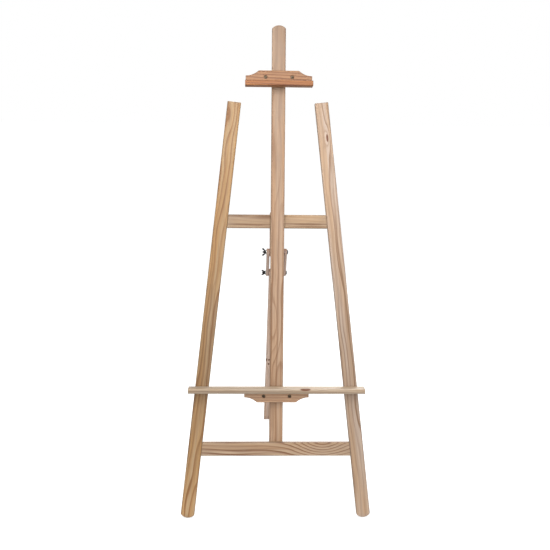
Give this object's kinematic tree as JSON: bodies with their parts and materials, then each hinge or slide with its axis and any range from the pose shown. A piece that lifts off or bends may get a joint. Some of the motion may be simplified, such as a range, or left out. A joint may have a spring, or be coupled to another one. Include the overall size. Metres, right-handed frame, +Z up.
{
  "type": "tripod easel",
  "caption": "Upright wooden tripod easel: splayed A-frame legs with crossbars, a central mast with a sliding tray and top clip, and a folding rear leg on bolted cheek plates.",
  "frame": {"origin": "on the floor at the middle of the stance: centred between the front feet in X, and halfway between the front feet's front edges and the rear foot's back edge in Y", "axes": "+Z up; -Y is the front, where the canvas stands; +Y is the side of the rear leg; +X is the right as seen from the front"},
  "size_m": [0.5906, 0.8552, 1.4999],
  "materials": {
    "pine": "clear sanded pine, peach-tan with darker grain lines",
    "pine_golden": "clear sanded pine, golden with strong grain",
    "pine_pale": "clear sanded pine, cream and fine-grained",
    "pine_orange": "clear sanded pine heartwood, orange-brown",
    "beech": "raw beech dowel",
    "black_steel": "blackened steel, satin",
    "zinc_steel": "zinc plated, dulled"
  },
  "bodies": {
    "frame": {"left_leg": "pine_golden", "right_leg": "pine", "upper_crossbar": "pine", "lower_crossbar": "pine", "mast": "pine", "hinge_block": "pine", "upper_dowel_left_upper": "beech", "upper_dowel_left_lower": "beech", "upper_dowel_right_upper": "beech", "upper_dowel_right_lower": "beech", "lower_dowel_left_upper": "beech", "lower_dowel_left_lower": "beech", "lower_dowel_right_upper": "beech", "lower_dowel_right_lower": "beech", "mast_foot_screw_left": "zinc_steel", "mast_foot_screw_right": "zinc_steel", "hinge_block_screw_left": "zinc_steel", "hinge_block_screw_right": "zinc_steel"},
    "tray": {"tray_board": "pine_pale", "tray_bracket": "pine_pale", "tray_clamp_bar": "pine", "tray_clamp_bolt_left": "black_steel", "tray_clamp_bolt_right": "black_steel", "tray_clamp_washer_left": "zinc_steel", "tray_clamp_washer_right": "zinc_steel", "tray_dowel_left": "beech", "tray_dowel_right": "beech"},
    "clip": {"clip_ledge": "pine_orange", "clip_bracket": "pine_orange", "clip_clamp_bar": "pine", "clip_clamp_bolt_left": "black_steel", "clip_clamp_bolt_right": "black_steel", "clip_clamp_washer_left": "zinc_steel", "clip_clamp_washer_right": "zinc_steel", "clip_dowel_left": "beech", "clip_dowel_right": "beech"},
    "link": {"cheek_left": "pine_pale", "cheek_right": "pine_pale", "link_bolt": "black_steel", "link_washer": "zinc_steel", "knee_bolt": "black_steel", "knee_washer": "zinc_steel"},
    "rear_leg": {"rear_leg": "pine_pale"},
    "link_nut": {"link_wing_nut": "black_steel"},
    "knee_nut": {"knee_wing_nut": "black_steel"},
    "tray_nut_left": {"tray_wing_nut_left": "black_steel"},
    "tray_nut_right": {"tray_wing_nut_right": "black_steel"},
    "clip_nut_left": {"clip_wing_nut_left": "black_steel"},
    "clip_nut_right": {"clip_wing_nut_right": "black_steel"}
  },
  "joints": [
    {"name": "tray_slide", "type": "slide", "parent": "frame", "child": "tray", "axis": [0, 0.1221, 0.9925], "range_m": [-0.015, 0.28]},
    {"name": "clip_slide", "type": "slide", "parent": "frame", "child": "clip", "axis": [0, 0.1221, 0.9925], "range_m": [-0.3, 0.1]},
    {"name": "link_pivot", "type": "hinge", "parent": "frame", "child": "link", "pos_m": [0, -0.24322, 0.81085], "axis": [1, 0, 0], "range_deg": [-20, 8]},
    {"name": "rear_leg_pivot", "type": "hinge", "parent": "link", "child": "rear_leg", "pos_m": [0, -0.17834, 0.73215], "axis": [1, 0, 0], "range_deg": [-26, 10]},
    {"name": "link_nut_turn", "type": "hinge", "parent": "link", "child": "link_nut", "pos_m": [0, -0.24322, 0.81085], "axis": [1, 0, 0], "continuous": true},
    {"name": "knee_nut_turn", "type": "hinge", "parent": "link", "child": "knee_nut", "pos_m": [0, -0.17834, 0.73215], "axis": [1, 0, 0], "continuous": true},
    {"name": "tray_nut_left_turn", "type": "hinge", "parent": "tray", "child": "tray_nut_left", "pos_m": [-0.04, -0.30729, 0.37247], "axis": [0, 0.9925, -0.1221], "continuous": true},
    {"name": "tray_nut_right_turn", "type": "hinge", "parent": "tray", "child": "tray_nut_right", "pos_m": [0.04, -0.30729, 0.37247], "axis": [0, 0.9925, -0.1221], "continuous": true},
    {"name": "clip_nut_left_turn", "type": "hinge", "parent": "clip", "child": "clip_nut_left", "pos_m": [-0.04, -0.18853, 1.3378], "axis": [0, 0.9925, -0.1221], "continuous": true},
    {"name": "clip_nut_right_turn", "type": "hinge", "parent": "clip", "child": "clip_nut_right", "pos_m": [0.04, -0.18853, 1.3378], "axis": [0, 0.9925, -0.1221], "continuous": true}
  ]
}
